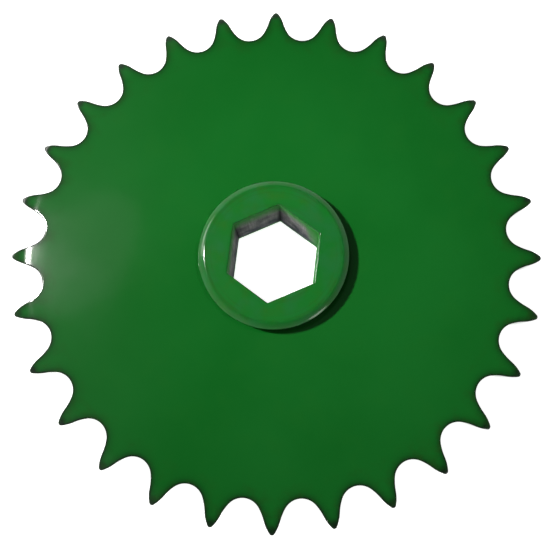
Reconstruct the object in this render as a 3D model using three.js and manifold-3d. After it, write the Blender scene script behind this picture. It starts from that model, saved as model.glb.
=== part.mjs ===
// Roller-chain sprocket: a toothed steel plate welded onto a turned hub with a hexagonal through bore.
//
// Frame: millimetres. The bore axis is Z, with +Z out of the shouldered face of the hub. The origin is
// on the bore axis in the middle of the plate's thickness. Tooth gaps lie on +X, -X, +Y and -Y, two
// corners of the hexagon lie on +Y and -Y, and two of its flats face +X and -X.

import * as THREE from 'three';
import { mergeVertices } from 'three/addons/utils/BufferGeometryUtils.js';
import Module from 'manifold-3d';

const wasm = await Module();
wasm.setup();

// ---- Driving dimensions, in millimetres ----

// The chain: 3/4 inch pitch, single strand, and the wheel's number of teeth.
const chainPitch = 19.05;
const rollerDiameter = 11.91;
const toothCount = 28;

// The toothed plate. The outside diameter is the standard one for this chain and number of teeth.
const plateThickness = 11.66;
const outsideDiameter = chainPitch * (0.6 + 1 / Math.tan(Math.PI / toothCount));
const toppingRadius = 15.3;
const sideReliefDepth = 7.5;
const sideReliefRadius = chainPitch;

// The hub, and the hexagonal bore for a 1 1/8 inch hex shaft. The rim's bevel is measured in from
// the side, and leans back from the face by an angle in degrees.
const hubDiameter = 50;
const hubLength = 23.8;
const rimBevelWidth = 1.85;
const rimBevelAngle = 31.5;
const spigotDiameter = 44.45;
const spigotChamfer = 1;
const hexAcrossFlats = 28.7;

// The fillet weld behind the plate.
const weldLeg = 4.4;
const weldCrown = 0.7;

// Clearance between neighbouring pieces.
const fitGap = 0.1;

// ---- Worked-out sizes ----

const halfTooth = Math.PI / toothCount;
const pitchRadius = chainPitch / 2 / Math.sin(halfTooth);
const outsideRadius = outsideDiameter / 2;
const plateFront = plateThickness / 2;
const hubFront = hubLength / 2;
const hubRadius = hubDiameter / 2;
const spigotRadius = spigotDiameter / 2;
const degrees = Math.PI / 180;

// Facets round every turned piece: two for each tooth, so that neighbours' facets line up.
const turnedFacets = 2 * toothCount;

// ---- Helpers ----

// Points along an arc, from one angle to another, both ends included.
function arcPoints(centre, radius, fromAngle, toAngle, steps) {
  const points = [];
  for (let i = 0; i <= steps; i += 1) {
    const angle = fromAngle + (toAngle - fromAngle) * (i / steps);
    points.push(new THREE.Vector2(
      centre.x + radius * Math.cos(angle),
      centre.y + radius * Math.sin(angle),
    ));
  }
  return points;
}

// A closed three.js geometry as a manifold solid. Shared vertices are merged, and triangles that
// shrink to a line where a turned profile meets its axis are dropped.
function toSolid(geometry) {
  const bare = geometry.clone();
  bare.deleteAttribute('normal');
  bare.deleteAttribute('uv');
  const merged = mergeVertices(bare);
  const corners = merged.index.array;
  const triangles = [];
  for (let i = 0; i < corners.length; i += 3) {
    const [a, b, c] = [corners[i], corners[i + 1], corners[i + 2]];
    if (a !== b && b !== c && c !== a) triangles.push(a, b, c);
  }
  return new wasm.Manifold(new wasm.Mesh({
    numProp: 3,
    vertProperties: new Float32Array(merged.attributes.position.array),
    triVerts: new Uint32Array(triangles),
  }));
}

// A manifold solid as a three.js geometry.
function toGeometry(solid) {
  const mesh = solid.getMesh();
  const geometry = new THREE.BufferGeometry();
  geometry.setAttribute('position', new THREE.BufferAttribute(mesh.vertProperties, 3));
  geometry.setIndex(new THREE.BufferAttribute(mesh.triVerts, 1));
  geometry.computeVertexNormals();
  return geometry;
}

// A solid turned about Z. The profile's points are (radius, z), listed with z rising along the outside.
function turned(profile) {
  const geometry = new THREE.LatheGeometry(profile, turnedFacets);
  geometry.rotateX(Math.PI / 2);
  return toSolid(geometry);
}

// A prism along Z between two heights, from an outline drawn anticlockwise in the XY plane.
function prism(outline, bottom, top) {
  const geometry = new THREE.ExtrudeGeometry(new THREE.Shape(outline), {
    depth: top - bottom,
    bevelEnabled: false,
  });
  geometry.translate(0, 0, bottom);
  return toSolid(geometry);
}

// ---- Tooth plate ----

// One side of a tooth gap, from the middle of its seat up to the tooth's tip, as the standard
// roller-chain tooth form. Drawn in the gap's own axes: origin on the pitch circle in the middle of
// the gap, +Y outward from the wheel's centre, +X towards the tooth.
function gapFlank() {
  const seatRadius = 0.5025 * rollerDiameter + 0.038;
  const seatEnd = (35 + 60 / toothCount) * degrees;
  const workingRadius = 1.3025 * rollerDiameter + 0.038;
  const workingSweep = (18 - 56 / toothCount) * degrees;
  const flankAngle = seatEnd - workingSweep;

  const seat = arcPoints(new THREE.Vector2(0, 0), seatRadius, -Math.PI / 2, -seatEnd, 3);

  const workingCentre = new THREE.Vector2(
    -(workingRadius - seatRadius) * Math.cos(seatEnd),
    (workingRadius - seatRadius) * Math.sin(seatEnd),
  );
  const working = arcPoints(workingCentre, workingRadius, -seatEnd, -flankAngle, 2);

  // The topping arc leaves the working arc without a kink and curves in to the outside diameter.
  const flankEnd = working[working.length - 1];
  const toppingCentre = new THREE.Vector2(
    flankEnd.x + toppingRadius * Math.cos(flankAngle),
    flankEnd.y - toppingRadius * Math.sin(flankAngle),
  );
  const toWheelCentre = new THREE.Vector2(-toppingCentre.x, -pitchRadius - toppingCentre.y);
  const centreDistance = toWheelCentre.length();
  const tipCosine = (toppingRadius ** 2 + centreDistance ** 2 - outsideRadius ** 2)
    / (2 * toppingRadius * centreDistance);
  const tipAngle = toWheelCentre.angle() - Math.acos(tipCosine);
  const topping = arcPoints(toppingCentre, toppingRadius, Math.PI - flankAngle, tipAngle, 3);

  return [...seat, ...working.slice(1), ...topping.slice(1)];
}

// The wheel's whole outline, anticlockwise: each gap's two flanks, turned to the gap's place.
function toothedOutline() {
  const flank = gapFlank();
  const leftFlank = flank.slice(1).reverse().map((point) => new THREE.Vector2(-point.x, point.y));
  const gap = [...leftFlank, ...flank];
  const outline = [];
  for (let tooth = 0; tooth < toothCount; tooth += 1) {
    const gapAngle = -tooth * 2 * halfTooth;
    for (const point of gap) {
      const outward = pitchRadius + point.y;
      outline.push(new THREE.Vector2(
        point.x * Math.cos(gapAngle) - outward * Math.sin(gapAngle),
        point.x * Math.sin(gapAngle) + outward * Math.cos(gapAngle),
      ));
    }
  }
  return outline.reverse();
}

// The round blank whose rim is relieved on both sides, so that the teeth thin towards their tips.
function relievedBlank() {
  const reliefCentreRadius = outsideRadius - sideReliefDepth;
  const sweep = Math.asin(sideReliefDepth / sideReliefRadius);
  const centre = new THREE.Vector2(reliefCentreRadius, plateFront - sideReliefRadius);
  const frontRelief = arcPoints(centre, sideReliefRadius, Math.PI / 2 - sweep, Math.PI / 2, 2);
  const backRelief = frontRelief.map((point) => new THREE.Vector2(point.x, -point.y)).reverse();
  return turned([
    new THREE.Vector2(0, -plateFront),
    ...backRelief,
    ...frontRelief,
    new THREE.Vector2(0, plateFront),
  ]);
}

function toothPlate() {
  const bore = turned([
    new THREE.Vector2(0, -plateThickness),
    new THREE.Vector2(spigotRadius + fitGap, -plateThickness),
    new THREE.Vector2(spigotRadius + fitGap, plateThickness),
    new THREE.Vector2(0, plateThickness),
  ]);
  const teeth = prism(toothedOutline(), -plateThickness, plateThickness);
  return relievedBlank().intersect(teeth).subtract(bore);
}

// ---- Hub ----

function hexBore() {
  const cornerRadius = hexAcrossFlats / Math.sqrt(3);
  const outline = [];
  for (let corner = 0; corner < 6; corner += 1) {
    const angle = Math.PI / 2 + corner * Math.PI / 3;
    outline.push(new THREE.Vector2(cornerRadius * Math.cos(angle), cornerRadius * Math.sin(angle)));
  }
  return prism(outline, -hubLength, hubLength);
}

function hub() {
  const shoulder = plateFront + fitGap;
  const rimBevelDepth = rimBevelWidth * Math.tan(rimBevelAngle * degrees);
  const body = turned([
    new THREE.Vector2(0, -hubFront),
    new THREE.Vector2(spigotRadius - spigotChamfer, -hubFront),
    new THREE.Vector2(spigotRadius, -hubFront + spigotChamfer),
    new THREE.Vector2(spigotRadius, shoulder),
    new THREE.Vector2(hubRadius, shoulder),
    new THREE.Vector2(hubRadius, hubFront - rimBevelDepth),
    new THREE.Vector2(hubRadius - rimBevelWidth, hubFront),
    new THREE.Vector2(0, hubFront),
  ]);
  return body.subtract(hexBore());
}

// ---- Weld ----

// A fillet ring in the corner between the spigot and the back of the plate, with a crowned face.
function weldBead() {
  const inner = spigotRadius + fitGap;
  const top = -plateFront - fitGap;
  const toe = new THREE.Vector2(inner + weldLeg, top);
  const root = new THREE.Vector2(inner, top);
  const foot = new THREE.Vector2(inner, top - weldLeg);
  const crown = new THREE.Vector2(
    inner + weldLeg / 2 + weldCrown / Math.SQRT2,
    top - weldLeg / 2 - weldCrown / Math.SQRT2,
  );
  return turned([foot, crown, toe, root, foot]);
}

// ---- Assembly ----

const greenPaint = new THREE.MeshStandardMaterial({ color: 0x1b6b24, roughness: 0.35, metalness: 0 });
const hubPaint = greenPaint.clone();
const weldPaint = new THREE.MeshStandardMaterial({ color: 0x1a6323, roughness: 0.45, metalness: 0 });

const pieces = [
  ['tooth_plate', toothPlate(), greenPaint],
  ['hub', hub(), hubPaint],
  ['weld_bead', weldBead(), weldPaint],
];

const group = new THREE.Group();
for (const [name, solid, material] of pieces) {
  const mesh = new THREE.Mesh(toGeometry(solid), material);
  mesh.name = name;
  group.add(mesh);
}

export default group;
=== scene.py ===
from math import atan2, cos, exp, hypot, pi, radians, sin, sqrt, tan

import bmesh
import bpy
from mathutils import Matrix, Vector

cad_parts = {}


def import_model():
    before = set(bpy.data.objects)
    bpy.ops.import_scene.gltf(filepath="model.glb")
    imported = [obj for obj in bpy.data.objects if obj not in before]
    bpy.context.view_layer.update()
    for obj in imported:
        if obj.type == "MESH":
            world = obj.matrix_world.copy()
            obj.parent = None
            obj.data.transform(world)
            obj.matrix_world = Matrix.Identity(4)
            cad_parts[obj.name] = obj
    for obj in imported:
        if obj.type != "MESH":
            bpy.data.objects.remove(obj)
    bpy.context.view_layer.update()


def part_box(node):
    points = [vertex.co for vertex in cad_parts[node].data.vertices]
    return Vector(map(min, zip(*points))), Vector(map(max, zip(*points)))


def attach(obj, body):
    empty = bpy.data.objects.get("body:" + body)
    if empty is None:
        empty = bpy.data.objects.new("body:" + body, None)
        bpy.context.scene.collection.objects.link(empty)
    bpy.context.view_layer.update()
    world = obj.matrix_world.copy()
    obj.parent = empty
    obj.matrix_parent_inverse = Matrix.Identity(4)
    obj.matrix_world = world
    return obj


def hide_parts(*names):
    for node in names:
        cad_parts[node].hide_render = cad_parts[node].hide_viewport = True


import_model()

MM = 0.001

# ---- Sizes, in metres ----
# The tooth form follows from the chain. The plate's front, the hub's front and radius and the weld's
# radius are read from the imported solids. The other sizes are stated here, most as in the part's source.

CHAIN_PITCH = 19.05 * MM
ROLLER_DIAMETER = 11.91 * MM
TOOTH_COUNT = 28
OUTSIDE_RADIUS = CHAIN_PITCH / 2 * (0.6 + 1 / tan(pi / TOOTH_COUNT))
TOPPING_RADIUS = 15.3 * MM
NOSE_RADIUS = 0.95 * MM
SIDE_RELIEF_DEPTH = 7.5 * MM
SIDE_RELIEF_RADIUS = CHAIN_PITCH
TOOTH_EDGE = 0.35 * MM

HEX_ACROSS_FLATS = 28.7 * MM
HEX_CORNER_RADIUS = 0.5 * MM
HEX_MOUTH_EDGE = 0.35 * MM
SPIGOT_DIAMETER = 44.45 * MM
SPIGOT_CHAMFER = 1.0 * MM
SPIGOT_EDGE = 0.08 * MM
SHOULDER_EDGE = 0.15 * MM

# Clearance between the hub and the plate.
FIT_GAP = 0.1 * MM

# The hub's rim in section, as arcs from the face to the side: radius, and slope in degrees at each end.
RIM_ARCS = ((1.4 * MM, 0, 31), (13.5 * MM, 31, 38.5), (0.5 * MM, 38.5, 90))

# The plate's paint is darker near an edge, over this distance, as thinned paint with painted shade, and
# towards the tips, between these radii, as painted shade.
EDGE_FADE = 0.9 * MM
TIP_SHADE_RADII = (85.4 * MM, 88.8 * MM)

# Painted shade in the bore's corners: how far it reaches along the flats.
CORNER_FADE = 1.0 * MM

_, plate_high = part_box("tooth_plate")
hub_low, hub_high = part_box("hub")
_, weld_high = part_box("weld_bead")

PLATE_FRONT = plate_high[2]
HUB_FRONT = hub_high[2]
HUB_RADIUS = hub_high[0]
SPIGOT_RADIUS = SPIGOT_DIAMETER / 2
WELD_OUTER = weld_high[0]

HALF_TOOTH = pi / TOOTH_COUNT
PITCH_RADIUS = CHAIN_PITCH / 2 / sin(HALF_TOOTH)
RELIEF_START = OUTSIDE_RADIUS - SIDE_RELIEF_DEPTH


# ---- Mesh helpers ----

def arc(centre, radius, from_angle, to_angle, steps):
    """Points along an arc, both ends included, each as (x, y, angle)."""
    points = []
    for i in range(steps + 1):
        angle = from_angle + (to_angle - from_angle) * i / steps
        points.append((centre[0] + radius * cos(angle), centre[1] + radius * sin(angle), angle))
    return points


def ring_object(name, rings, materials, ring_material=None):
    """A closed tube-like mesh: each ring joins the next, and the last joins the first.

    A ring's points are (x, y, z, edge). The edge value runs from 0 on open faces to 1 along a sharp
    corner, and is kept on the mesh for the paint to read. ring_material(i) picks the material of the
    band after ring i.
    """
    columns = len(rings[0])
    points = [point for ring in rings for point in ring]
    faces = []
    for i in range(len(rings)):
        here = i * columns
        there = (i + 1) % len(rings) * columns
        for j in range(columns):
            k = (j + 1) % columns
            faces.append((here + j, here + k, there + k, there + j))
    mesh = bpy.data.meshes.new(name)
    mesh.from_pydata([point[:3] for point in points], [], faces)
    for material in materials:
        mesh.materials.append(material)
    if ring_material:
        for i, face in enumerate(mesh.polygons):
            face.material_index = ring_material(i // columns)
    layer = mesh.attributes.new("edge", "FLOAT", "POINT")
    layer.data.foreach_set("value", [point[3] for point in points])
    work = bmesh.new()
    work.from_mesh(mesh)
    bmesh.ops.recalc_face_normals(work, faces=work.faces)
    work.to_mesh(mesh)
    work.free()
    mesh.shade_smooth()
    piece = bpy.data.objects.new(name, mesh)
    bpy.context.scene.collection.objects.link(piece)
    return piece


# ---- Tooth plate ----

# Radii of the rings on the flat of the plate, and of the last one before the teeth.
FLAT_RINGS = (27 * MM, 45 * MM, 62 * MM)
TOOTH_BASE = 74 * MM

# Places of the rings over the teeth, from that last ring (0) to the teeth's rounded corner (1).
TOOTH_RINGS = [0.25, 0.45] + [0.54 + 0.046 * i for i in range(11)]


def flank():
    """One side of a tooth gap, from its middle to the tooth's tip, as (x, y, normal x, normal y).

    In the gap's own axes: origin on the pitch circle, +Y outward, +X towards the tooth. Normals point
    out of the steel.
    """
    seat_radius = 0.5025 * ROLLER_DIAMETER + 0.038 * MM
    seat_end = radians(35 + 60 / TOOTH_COUNT)
    working_radius = 1.3025 * ROLLER_DIAMETER + 0.038 * MM
    flank_angle = seat_end - radians(18 - 56 / TOOTH_COUNT)
    points = []
    for x, y, angle in arc((0, 0), seat_radius, -pi / 2, -seat_end, 8):
        points.append((x, y, -cos(angle), -sin(angle)))

    reach = working_radius - seat_radius
    working_centre = (-reach * cos(seat_end), reach * sin(seat_end))
    for x, y, angle in arc(working_centre, working_radius, -seat_end, -flank_angle, 4)[1:]:
        points.append((x, y, -cos(angle), -sin(angle)))

    # The topping arc is convex and ends where it meets the round nose of the tooth. The tooth's own
    # centre line passes through the wheel's centre, half a tooth from the gap's.
    x, y = points[-1][:2]
    centre = Vector((x + TOPPING_RADIUS * cos(flank_angle), y - TOPPING_RADIUS * sin(flank_angle)))
    wheel_centre = Vector((0, -PITCH_RADIUS))
    tooth_line = Vector((sin(HALF_TOOTH), cos(HALF_TOOTH)))
    across = Vector((cos(HALF_TOOTH), -sin(HALF_TOOTH)))
    aside = (centre - wheel_centre).dot(across)
    along = (centre - wheel_centre).dot(tooth_line)
    nose_along = along + sqrt((TOPPING_RADIUS - NOSE_RADIUS) ** 2 - aside ** 2)
    nose = wheel_centre + tooth_line * nose_along
    to_nose = nose - centre
    nose_angle = atan2(to_nose.y, to_nose.x)
    for x, y, angle in arc(centre, TOPPING_RADIUS, pi - flank_angle, nose_angle, 7)[1:]:
        points.append((x, y, cos(angle), sin(angle)))
    for x, y, angle in arc(nose, NOSE_RADIUS, nose_angle, pi / 2 - HALF_TOOTH, 4)[1:]:
        points.append((x, y, cos(angle), sin(angle)))
    return points


def toothed_outline():
    """The wheel's outline, anticlockwise from the top of the tooth right of +Y."""
    right = flank()
    left = [(-x, y, -nx, ny) for x, y, nx, ny in right]
    gap = right[::-1] + left[1:-1]
    outline = []
    for tooth in range(TOOTH_COUNT):
        turn = tooth * 2 * HALF_TOOTH
        c = cos(turn)
        s = sin(turn)
        for x, y, nx, ny in gap:
            out = PITCH_RADIUS + y
            outline.append((x * c - out * s, x * s + out * c, nx * c - ny * s, nx * s + ny * c))
    return outline


def face_height(radius):
    """Height of the plate's front face at a radius: flat, then curving in over the teeth."""
    past = radius - RELIEF_START
    if past <= 0:
        return PLATE_FRONT
    return PLATE_FRONT - SIDE_RELIEF_RADIUS + sqrt(SIDE_RELIEF_RADIUS ** 2 - past ** 2)


def edge_value(distance, radius):
    """How dark the plate's face is painted: thinned paint with painted shade near the outline, painted shade
    towards the tips.
    """
    corner = exp(-max(distance - TOOTH_EDGE, 0) / EDGE_FADE)
    # Painted shade towards the teeth's tips.
    start, end = TIP_SHADE_RADII
    along = min(max((radius - start) / (end - start), 0), 1)
    tip = along * along * (3 - 2 * along)
    return max(corner, tip)


def tooth_plate(materials):
    outline = toothed_outline()
    inner = [(x - nx * TOOTH_EDGE, y - ny * TOOTH_EDGE) for x, y, nx, ny in outline]
    per_tooth = len(outline) // TOOTH_COUNT
    rings = []

    for radius in (SPIGOT_RADIUS + FIT_GAP, *FLAT_RINGS, TOOTH_BASE):
        ring = []
        for x, y in inner:
            reach = hypot(x, y)
            ring.append((x / reach * radius, y / reach * radius, PLATE_FRONT, 0))
        rings.append(ring)

    # Out over the teeth. Every tooth is alike, so the distances to the outline are found on one.
    for share in TOOTH_RINGS:
        distances = []
        ring = []
        for j, (x, y) in enumerate(inner):
            reach = hypot(x, y)
            radius = TOOTH_BASE + (reach - TOOTH_BASE) * share
            px = x / reach * radius
            py = y / reach * radius
            if j < per_tooth:
                near = (outline[i] for i in range(j - per_tooth, j + per_tooth))
                distances.append(min(hypot(px - point[0], py - point[1]) for point in near))
            ring.append((px, py, face_height(radius), edge_value(distances[j % per_tooth], radius)))
        rings.append(ring)

    # Over the rounded corner and down the wall.
    for angle in (22.5, 45, 67.5, 90):
        inset = TOOTH_EDGE * (1 - sin(radians(angle)))
        drop = TOOTH_EDGE * (1 - cos(radians(angle)))
        ring = []
        for x, y, nx, ny in outline:
            px = x - nx * inset
            py = y - ny * inset
            ring.append((px, py, face_height(hypot(px, py)) - drop, 1))
        rings.append(ring)
    for depth, edge in ((1.6 * TOOTH_EDGE, 0.6), (4 * TOOTH_EDGE, 0.1)):
        rings.append([(x, y, face_height(hypot(x, y)) - depth, edge) for x, y, nx, ny in outline])

    back = [[(x, y, -z, edge) for x, y, z, edge in ring] for ring in reversed(rings)]
    return ring_object("tooth_plate_painted", rings + back, materials)


# ---- Hub ----

HUB_COLUMNS = 360
RIM_STEPS = 5

# How far from an edge the extra rings lie that keep its smooth shading close to it.
EDGE_RING = 0.1 * MM
FACE_EDGE_RING = 0.08 * MM

# Edge values: how far the paint thins at each corner of the hub; in the front shoulder's inside corner
# the darkening is painted shade.
MOUTH_THIN = 0.2
RIM_THIN = 0.12
HUB_CORNER_SHADE_AND_THIN = 0.5
CHAMFER_THIN = 0.8


def column_angles():
    return [2 * pi * j / HUB_COLUMNS for j in range(HUB_COLUMNS)]


def circle_ring(radius, height, edge=0.0):
    return [(radius * cos(a), radius * sin(a), height, edge) for a in column_angles()]


def hex_radius(angle, across_flats):
    """How far the hexagon's wall is from the axis. Its corners, two on +Y and -Y, are rounded."""
    from_flat = (angle + pi / 6) % (pi / 3) - pi / 6
    straight = across_flats / 2 / cos(from_flat)
    corner_centre = (across_flats / 2 - HEX_CORNER_RADIUS) / cos(pi / 6)
    from_corner = pi / 6 - abs(from_flat)
    if corner_centre * sin(from_corner) >= HEX_CORNER_RADIUS:
        return straight
    rounded = corner_centre * cos(from_corner)
    rounded += sqrt(HEX_CORNER_RADIUS ** 2 - (corner_centre * sin(from_corner)) ** 2)
    return min(straight, rounded)


def hex_ring(across_flats, height, edge=0.0):
    ring = []
    for a in column_angles():
        radius = hex_radius(a, across_flats)
        ring.append((radius * cos(a), radius * sin(a), height, edge))
    return ring


def between(ring_a, ring_b, share):
    """A ring part of the way from one ring to another, away from any edge."""
    ring = []
    for a, b in zip(ring_a, ring_b):
        x, y, z = (p + (q - p) * share for p, q in zip(a[:3], b[:3]))
        ring.append((x, y, z, 0))
    return ring


def bore_mouth(side):
    """The rounded edge where the bore opens, from the face into the bore."""
    bends = []
    for angle in (0, 30, 60, 90):
        inset = HEX_MOUTH_EDGE * (1 - sin(radians(angle)))
        drop = HEX_MOUTH_EDGE * (1 - cos(radians(angle)))
        bends.append(hex_ring(HEX_ACROSS_FLATS + 2 * inset, side * (HUB_FRONT - drop), MOUTH_THIN))
    return bends


def bore_wall(height):
    """A ring of the hexagon's wall, whose edge value is 1 in the corners and fades along the flats."""
    ring = []
    for a in column_angles():
        radius = hex_radius(a, HEX_ACROSS_FLATS)
        from_corner = pi / 6 - abs((a + pi / 6) % (pi / 3) - pi / 6)
        ring.append((radius * cos(a), radius * sin(a), height, exp(-radius * from_corner / CORNER_FADE)))
    return ring


def rim_profile():
    """The hub's broken edge, from the face to the side: a slightly crowned bevel with round ends."""
    width = sum(radius * (sin(radians(b)) - sin(radians(a))) for radius, a, b in RIM_ARCS)
    out = HUB_RADIUS - width
    height = HUB_FRONT
    profile = [(out, height)]
    for radius, start, end in RIM_ARCS:
        for i in range(1, RIM_STEPS + 1):
            a = radians(start + (end - start) * (i - 1) / RIM_STEPS)
            b = radians(start + (end - start) * i / RIM_STEPS)
            out += radius * (sin(b) - sin(a))
            height -= radius * (cos(a) - cos(b))
            profile.append((out, height))
    return profile


def hub(materials):
    front_mouth = bore_mouth(1)
    back_mouth = bore_mouth(-1)
    profile = rim_profile()
    face_radius, _ = profile[0]
    _, rim_foot = profile[-1]
    shoulder = PLATE_FRONT + FIT_GAP
    back = -HUB_FRONT
    flat_end = SPIGOT_RADIUS - SPIGOT_CHAMFER

    # Front: bore's mouth, face, rim and the shoulder's wall.
    face_outer = circle_ring(face_radius - FACE_EDGE_RING, HUB_FRONT)
    rings = front_mouth[::-1]
    rings.append(between(front_mouth[0], face_outer, 0.06))
    rings.append(between(front_mouth[0], face_outer, 0.5))
    rings.append(face_outer)
    rings.extend(circle_ring(radius, height, RIM_THIN) for radius, height in profile)
    rings.append(circle_ring(HUB_RADIUS, (rim_foot + shoulder) / 2))
    # Painted shade in the inside corner where the hub stands on the plate.
    rings.append(circle_ring(HUB_RADIUS, shoulder + SHOULDER_EDGE, HUB_CORNER_SHADE_AND_THIN))
    rings.append(circle_ring(HUB_RADIUS - SHOULDER_EDGE, shoulder, HUB_CORNER_SHADE_AND_THIN))

    # Under the shoulder and down the spigot, round its chamfer and over the back face.
    rings.append(circle_ring(SPIGOT_RADIUS + EDGE_RING, shoulder))
    rings.append(circle_ring(SPIGOT_RADIUS, shoulder - EDGE_RING))
    rings.append(circle_ring(SPIGOT_RADIUS, back + SPIGOT_CHAMFER + EDGE_RING, HUB_CORNER_SHADE_AND_THIN))
    rings.append(circle_ring(SPIGOT_RADIUS - SPIGOT_EDGE, back + SPIGOT_CHAMFER - SPIGOT_EDGE, CHAMFER_THIN))
    rings.append(circle_ring(flat_end + SPIGOT_EDGE, back + SPIGOT_EDGE, CHAMFER_THIN))
    back_outer = circle_ring(flat_end - EDGE_RING, back, HUB_CORNER_SHADE_AND_THIN)
    rings.append(back_outer)
    rings.append(between(back_outer, back_mouth[0], 0.5))
    rings.append(between(back_outer, back_mouth[0], 0.94))

    # Back mouth and up the bore.
    rings.extend(back_mouth)
    wall_start = len(rings) - 1
    wall_top = HUB_FRONT - HEX_MOUTH_EDGE
    wall_bottom = -wall_top
    for share in (0.06, 0.35, 0.65, 0.94):
        rings.append(bore_wall(wall_bottom + (wall_top - wall_bottom) * share))

    def bore_material(band):
        return 1 if band >= wall_start else 0

    return ring_object("hub_turned", rings, materials, bore_material)


# ---- Weld ----

WELD_COLUMNS = 720
WELD_STEPS = 14
WELD_CROWN = 0.40 * MM
WELD_GAP = 0.02 * MM

# What the bead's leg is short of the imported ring's by, so that its wandering toes stay inside.
WELD_MARGIN = 0.42 * MM

# The ripples, and how far behind the toes their middles lag, as a share of one ripple.
RIPPLE_COUNT = 58
RIPPLE_HEIGHT = 0.26 * MM
RIPPLE_LAG = 0.33

# The bulge where the bead closes, its width in radians.
OVERLAP_AT = radians(70)
OVERLAP_WIDTH = 0.11
OVERLAP_HEIGHT = 0.25 * MM


def weld_bead(materials):
    """A hand-laid fillet: a crowned section whose toes wander, crossed by overlapping ripples.

    It bulges a little where the bead's end was laid over its start.
    """
    inner = SPIGOT_RADIUS + WELD_GAP
    top = -PLATE_FRONT - WELD_GAP
    leg = WELD_OUTER - inner - WELD_MARGIN
    rings = [[] for _ in range(WELD_STEPS + 2)]
    for j in range(WELD_COLUMNS):
        turn = 2 * pi * j / WELD_COLUMNS
        wander = 1 + 0.035 * sin(3 * turn + 0.7) + 0.03 * sin(7 * turn + 2.1) + 0.02 * sin(19 * turn)
        size = leg * wander
        overlap = exp(-((turn - OVERLAP_AT) / OVERLAP_WIDTH) ** 2)
        for i in range(WELD_STEPS + 1):
            share = i / WELD_STEPS
            bow = 4 * share * (1 - share)
            phase = (turn * RIPPLE_COUNT / (2 * pi) - RIPPLE_LAG * bow) % 1
            ripple = (1 - phase) ** 1.5 * RIPPLE_HEIGHT * sqrt(bow)
            crown = (WELD_CROWN * bow + ripple + OVERLAP_HEIGHT * overlap * bow) / sqrt(2)
            radius = inner + size * (1 - share) + crown
            height = top - size * share - crown
            rings[i].append((radius * cos(turn), radius * sin(turn), height, 0))
        rings[-1].append((inner * cos(turn), inner * sin(turn), top, 0))
    return ring_object("weld_bead_rippled", rings, materials)


# ---- Materials ----

# The enamel's colours: sound, then thinned with painted shade, soiled, and as it varies over the hub.
DEEP_GREEN = (0.0040, 0.1300, 0.0125, 1)
FRESH_GREEN = (0.0060, 0.1420, 0.0160, 1)
YELLOWED_GREEN = (0.0090, 0.1380, 0.0130, 1)
THIN_AND_SHADED_GREEN = (0.0050, 0.0160, 0.0060, 1)
SMUDGED_GREEN = (0.0130, 0.0720, 0.0080, 1)
OLIVE_GREEN = (0.0200, 0.1350, 0.0090, 1)
BLUISH_GREEN = (0.0160, 0.1450, 0.0420, 1)
STREAK_GREEN = (0.0150, 0.0850, 0.0080, 1)

# The bore's colours.
DARK_STEEL = (0.265, 0.240, 0.258, 1)
PALE_STEEL = (0.455, 0.415, 0.440, 1)
BORE_DEPTH_SHADE = (0.035, 0.045, 0.060, 1)
BORE_CORNER_SHADE = (0.004, 0.004, 0.006, 1)
OVERSPRAY = (0.0500, 0.3200, 0.0600, 1)


class Nodes:
    """Short names for adding and joining nodes in one material."""

    def __init__(self, name):
        self.material = bpy.data.materials.new(name)
        self.material.use_nodes = True
        self.tree = self.material.node_tree
        self.tree.nodes.clear()
        self.place = self.add("ShaderNodeTexCoord").outputs["Object"]

    def add(self, kind, inputs=None, **settings):
        node = self.tree.nodes.new(kind)
        for key, value in settings.items():
            setattr(node, key, value)
        for key, value in (inputs or {}).items():
            self.set(node.inputs[key], value)
        return node

    def set(self, socket, value):
        if isinstance(value, bpy.types.NodeSocket):
            self.tree.links.new(value, socket)
        else:
            socket.default_value = value

    def noise(self, size, detail=2.0, roughness=0.5, place=None):
        """Noise from 0 to 1 whose features are about size metres across."""
        return self.add("ShaderNodeTexNoise", {
            "Vector": place or self.place,
            "Scale": 1 / size,
            "Detail": detail,
            "Roughness": roughness,
        }).outputs["Fac"]

    def remap(self, value, from_low, from_high, to_low=0.0, to_high=1.0):
        return self.add("ShaderNodeMapRange", {
            "Value": value,
            "From Min": from_low,
            "From Max": from_high,
            "To Min": to_low,
            "To Max": to_high,
        }, clamp=True).outputs["Result"]

    def math(self, operation, a, b=0.0):
        node = self.add("ShaderNodeMath", operation=operation)
        self.set(node.inputs[0], a)
        self.set(node.inputs[1], b)
        return node.outputs["Value"]

    def mix(self, share, a, b, blend="MIX"):
        node = self.add("ShaderNodeMix", data_type="RGBA", blend_type=blend)
        self.set(node.inputs["Factor"], share)
        self.set(node.inputs["A"], a)
        self.set(node.inputs["B"], b)
        return node.outputs["Result"]

    def bump(self, height, distance, normal=None):
        node = self.add("ShaderNodeBump", {"Height": height, "Distance": distance, "Strength": 1.0})
        if normal:
            self.set(node.inputs["Normal"], normal)
        return node.outputs["Normal"]

    def finish(self, shader):
        out = self.add("ShaderNodeOutputMaterial")
        self.tree.links.new(shader, out.inputs["Surface"])
        return self.material


def grey(value):
    return (value, value, value, 1)


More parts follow.
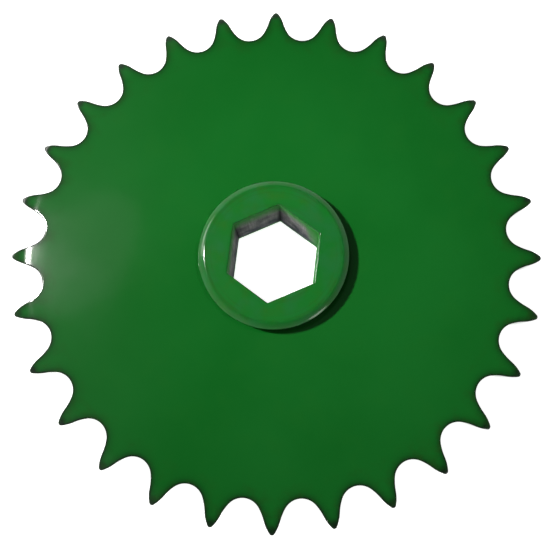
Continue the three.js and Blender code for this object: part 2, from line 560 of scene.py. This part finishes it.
def turned_marks(n, green, shine, normal):
    """The hub's patchy colour, the lathe's rings under its paint, and the duller middle of its face."""
    olive = n.remap(n.noise(0.006, 3, 0.6), 0.48, 0.66, 0, 0.55)
    green = n.mix(olive, green, OLIVE_GREEN)
    bluish = n.remap(n.noise(0.008, 2, 0.5), 0.35, 0.55, 0.5, 0)
    green = n.mix(bluish, green, BLUISH_GREEN)

    place = n.add("ShaderNodeSeparateXYZ", {"Vector": n.place})
    x_squared = n.math("POWER", place.outputs["X"], 2.0)
    y_squared = n.math("POWER", place.outputs["Y"], 2.0)
    radius = n.math("SQRT", n.math("ADD", x_squared, y_squared))
    rings = n.add("ShaderNodeCombineXYZ", {"X": radius}).outputs["Vector"]
    cut = n.noise(0.0007, 3, place=rings)
    normal = n.bump(cut, 0.00002, normal=normal)

    ring_streaks = n.remap(n.noise(0.0012, 2, place=rings), 0.5, 0.7, 0, 1)
    breaks = n.remap(n.noise(0.012, 2), 0.4, 0.6, 0, 0.5)
    green = n.mix(n.math("MULTIPLY", ring_streaks, breaks), green, STREAK_GREEN)
    dullness = n.remap(radius, HUB_RADIUS - 2.9 * MM, HUB_RADIUS - 2.0 * MM, 0.10, 0)
    shine = n.math("ADD", shine, dullness)
    return green, shine, normal


def paint(name, turned=False, lift=1.0):
    """Green enamel: orange peel, slight sags, uneven gloss, and thinned dark paint with painted shade along
    the edges, with painted shade also at the teeth's tips and in the hub's inside corner.

    lift brightens its colour, which paints the hub lighter than the plate as painted light on its raised
    face, and turned adds the marks of the hub's turned surface.
    """
    n = Nodes(name)
    green = n.mix(n.remap(n.noise(0.035, 3), 0.35, 0.65), DEEP_GREEN, FRESH_GREEN)
    green = n.mix(n.remap(n.noise(0.009, 4, 0.6), 0.5, 0.75, 0, 0.35), green, YELLOWED_GREEN)

    edge = n.add("ShaderNodeAttribute", attribute_name="edge").outputs["Fac"]
    # Thinned paint and painted shade along the edges, and painted shade at the tips and in the hub's inside
    # corner.
    thin_and_shaded = n.math("MULTIPLY", edge, n.remap(n.noise(0.0022, 4, 0.7), 0.25, 0.6, 0.75, 1))
    green = n.mix(thin_and_shaded, green, THIN_AND_SHADED_GREEN)
    soiling = n.remap(n.noise(0.0045, 4, 0.65), 0.5, 0.68, 0, 0.7)
    smudge = n.math("MULTIPLY", n.math("POWER", edge, 0.3), soiling)
    green = n.mix(smudge, green, SMUDGED_GREEN)
    green = n.mix(1.0, green, grey(lift), "MULTIPLY")

    shine = n.remap(n.noise(0.014, 3, 0.5), 0.3, 0.7, 0.085, 0.115)
    peel = n.noise(0.0016, 2)
    sag = n.noise(0.022, 2)
    normal = n.bump(sag, 0.00005)
    normal = n.bump(peel, 0.000007, normal=normal)
    if turned:
        green, shine, normal = turned_marks(n, green, shine, normal)

    shader = n.add("ShaderNodeBsdfPrincipled", {
        "Base Color": green,
        "Roughness": shine,
        "IOR": 1.5,
        "Normal": normal,
    })
    return n.finish(shader.outputs["BSDF"])


def bare_steel(name, mouth_height):
    """The broached bore: dull grey steel drawn with marks along the axis.

    It is painted darker from the front mouth to the back one, as shade deeper in the bore, and darker in
    its corners, as painted shade. Paint has drifted in at both mouths, and has run all the way down the
    flat on the right.
    """
    n = Nodes(name)
    stretched = n.add("ShaderNodeMapping", {"Vector": n.place, "Scale": (1, 1, 0.03)}).outputs["Vector"]
    marks = n.noise(0.0006, 4, 0.6, stretched)
    shade_blotch = n.noise(0.005, 4, 0.6)
    place = n.add("ShaderNodeSeparateXYZ", {"Vector": n.place})
    height = place.outputs["Z"]
    steel = n.mix(n.remap(marks, 0.3, 0.7), DARK_STEEL, PALE_STEEL)
    # Painted shade: darker deeper into the bore, from the front mouth to the back, broken up by noise.
    depth = n.remap(height, -mouth_height, mouth_height, 1.0, 0.0)
    depth_shade = n.math("ADD", depth, n.remap(shade_blotch, 0.3, 0.7, -0.35, 0.35))
    steel = n.mix(n.remap(depth_shade, 0.15, 0.95, 0, 0.85), steel, BORE_DEPTH_SHADE)
    # Painted shade in the bore's corners.
    corner = n.add("ShaderNodeAttribute", attribute_name="edge").outputs["Fac"]
    steel = n.mix(n.math("MULTIPLY", corner, 0.9), steel, BORE_CORNER_SHADE)

    ragged = n.remap(n.noise(0.0018, 4, 0.7), 0.3, 0.7, -0.0012, 0.0012)
    front = n.math("ADD", n.math("SUBTRACT", mouth_height, height), ragged)
    back = n.math("ADD", n.math("ADD", mouth_height, height), ragged)
    reach = n.remap(place.outputs["X"], 0.0095, 0.0140, 0.0090, 0.0400)
    front_spray = n.remap(n.math("DIVIDE", front, reach), 0.10, 1.0, 1, 0)
    back_spray = n.remap(back, 0.0002, 0.0018, 1, 0)
    colour = n.mix(n.math("MAXIMUM", front_spray, back_spray), steel, OVERSPRAY)

    shader = n.add("ShaderNodeBsdfPrincipled", {
        "Base Color": colour,
        "Metallic": 0.05,
        "Roughness": n.remap(marks, 0.3, 0.7, 0.55, 0.75),
        "Specular IOR Level": 0.0,
        "Normal": n.bump(marks, 0.00004),
    })
    return n.finish(shader.outputs["BSDF"])


def pale_floor(name):
    """The stage: white, and lit from within so that the wheel's outline stays clear."""
    n = Nodes(name)
    dust = n.remap(n.noise(0.05, 3), 0.4, 0.6, 0.80, 0.82)
    shader = n.add("ShaderNodeBsdfPrincipled", {
        "Base Color": grey(0.8),
        "Roughness": dust,
        "Emission Color": grey(1.0),
        "Emission Strength": 0.97,
        "Specular IOR Level": 0.0,
    })
    return n.finish(shader.outputs["BSDF"])


# ---- Stage, lights and camera ----

FLOOR_HALF = 3.0
FLOOR_GAP = 0.02 * MM
NEAR_WHITE = (1.0, 0.98, 0.95)


def floor(height):
    mesh = bpy.data.meshes.new("floor")
    signs = ((-1, -1), (1, -1), (1, 1), (-1, 1))
    corners = [(x * FLOOR_HALF, y * FLOOR_HALF, height) for x, y in signs]
    mesh.from_pydata(corners, [], [(0, 1, 2, 3)])
    mesh.materials.append(pale_floor("pale_floor"))
    piece = bpy.data.objects.new("floor", mesh)
    bpy.context.scene.collection.objects.link(piece)


def direction(azimuth, elevation):
    """Unit vector towards a place, with the azimuth anticlockwise from +X."""
    a = radians(azimuth)
    e = radians(elevation)
    return Vector((cos(a) * cos(e), sin(a) * cos(e), sin(e)))


def soft_box(name, around, azimuth, elevation, distance, size, brightness=None, watts=None, aim=None,
             spread=180, paint=False):
    """An elliptical soft box in a direction from a point, facing that point or another aim.

    size is its width and height. Its strength is given in watts or as its own brightness. With paint
    off, it shows only as a reflection in the gloss.
    """
    if aim is None:
        aim = around
    data = bpy.data.lights.new(name, "AREA")
    data.shape = "ELLIPSE"
    data.size, data.size_y = size
    data.spread = radians(spread)
    area = size[0] * size[1] * pi / 4
    data.energy = watts or brightness * pi * area
    data.color = NEAR_WHITE
    location = around + direction(azimuth, elevation) * distance
    light = bpy.data.objects.new(name, data)
    light.location = location
    light.rotation_euler = (location - aim).to_track_quat("Z", "Y").to_euler()
    light.visible_camera = False
    light.visible_diffuse = paint
    bpy.context.scene.collection.objects.link(light)


def world():
    """Dim overhead, paler towards the horizon and a little towards the left."""
    made = bpy.data.worlds.new("studio")
    made.use_nodes = True
    tree = made.node_tree
    tree.nodes.clear()
    place = tree.nodes.new("ShaderNodeTexCoord")
    split = tree.nodes.new("ShaderNodeSeparateXYZ")
    tree.links.new(place.outputs["Generated"], split.inputs["Vector"])

    def fade(value, from_range, to_range):
        node = tree.nodes.new("ShaderNodeMapRange")
        node.interpolation_type = "SMOOTHSTEP"
        node.inputs["From Min"].default_value, node.inputs["From Max"].default_value = from_range
        node.inputs["To Min"].default_value, node.inputs["To Max"].default_value = to_range
        tree.links.new(value, node.inputs["Value"])
        return node.outputs["Result"]

    horizon = fade(split.outputs["Z"], (0.0, 0.70), (0.80, 0.08))
    left = fade(split.outputs["X"], (-0.42, -0.12), (0.24, 0.0))
    total = tree.nodes.new("ShaderNodeMath")
    tree.links.new(horizon, total.inputs[0])
    tree.links.new(left, total.inputs[1])
    back = tree.nodes.new("ShaderNodeBackground")
    tree.links.new(total.outputs["Value"], back.inputs["Strength"])
    out = tree.nodes.new("ShaderNodeOutputWorld")
    tree.links.new(back.outputs["Background"], out.inputs["Surface"])
    bpy.context.scene.world = made


def camera():
    """The viewing angle: steeply from above, a little to the right and turned slightly."""
    azimuth = radians(14.4)
    elevation = radians(80.9)
    distance = 214.7 * MM
    roll = radians(-7.64)
    target = Vector((1.1, -6.25, 5.83)) * MM
    toward = Vector((
        sin(azimuth) * cos(elevation),
        -cos(azimuth) * cos(elevation),
        sin(elevation),
    ))
    data = bpy.data.cameras.new("camera")
    data.lens = 41.76
    data.sensor_width = 36
    data.clip_start = 0.01
    made = bpy.data.objects.new("camera", data)
    turn = toward.to_track_quat("Z", "Y").to_matrix() @ Matrix.Rotation(roll, 3, "Z")
    made.matrix_world = Matrix.Translation(target + toward * distance) @ turn.to_4x4()
    bpy.context.scene.collection.objects.link(made)
    bpy.context.scene.camera = made


def lights():
    """A small key from the left, and four soft boxes for the wheel's gloss to mirror."""
    centre = Vector((0, 0, PLATE_FRONT))
    beside_hub = Vector((21 * MM, 21 * MM, PLATE_FRONT))
    left_face = Vector((-67 * MM, -8 * MM, PLATE_FRONT))
    left_teeth = Vector((-84 * MM, -9 * MM, PLATE_FRONT))

    soft_box("key", centre, 170, 53, 0.62, (0.06, 0.06), watts=0.247, aim=beside_hub, spread=44,
             paint=True)
    soft_box("top_left", left_face, 154.5, 69.5, 0.58, (0.17, 0.10), brightness=0.34)
    soft_box("upper_left", left_teeth, 166, 58.5, 0.566, (0.10, 0.13), brightness=14)
    soft_box("low_left", centre, 162, 17, 0.50, (0.28, 0.075), brightness=5.0)
    soft_box("low_right", centre, -42, 17, 0.50, (0.17, 0.07), brightness=4.0)


# ---- Assembly ----

bpy.context.scene.view_settings.view_transform = "Standard"

camera()
plate_paint = paint("plate_paint")
# The hub's paint is a lighter copy of the plate's: painted light on the raised hub.
hub_paint = paint("hub_paint", turned=True, lift=1.12)
bore_steel = bare_steel("bore_steel", HUB_FRONT)
weld_paint = paint("weld_paint")

plate_piece = tooth_plate([plate_paint])
hub_piece = hub([hub_paint, bore_steel])
weld_piece = weld_bead([weld_paint])
for piece, node, slot in (
    (plate_piece, "tooth_plate", "plate_paint"),
    (hub_piece, "hub", "hub_paint"),
    (weld_piece, "weld_bead", "weld_paint"),
):
    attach(piece, "root")
    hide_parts(node)

floor(hub_low[2] - FLOOR_GAP)
world()
lights()
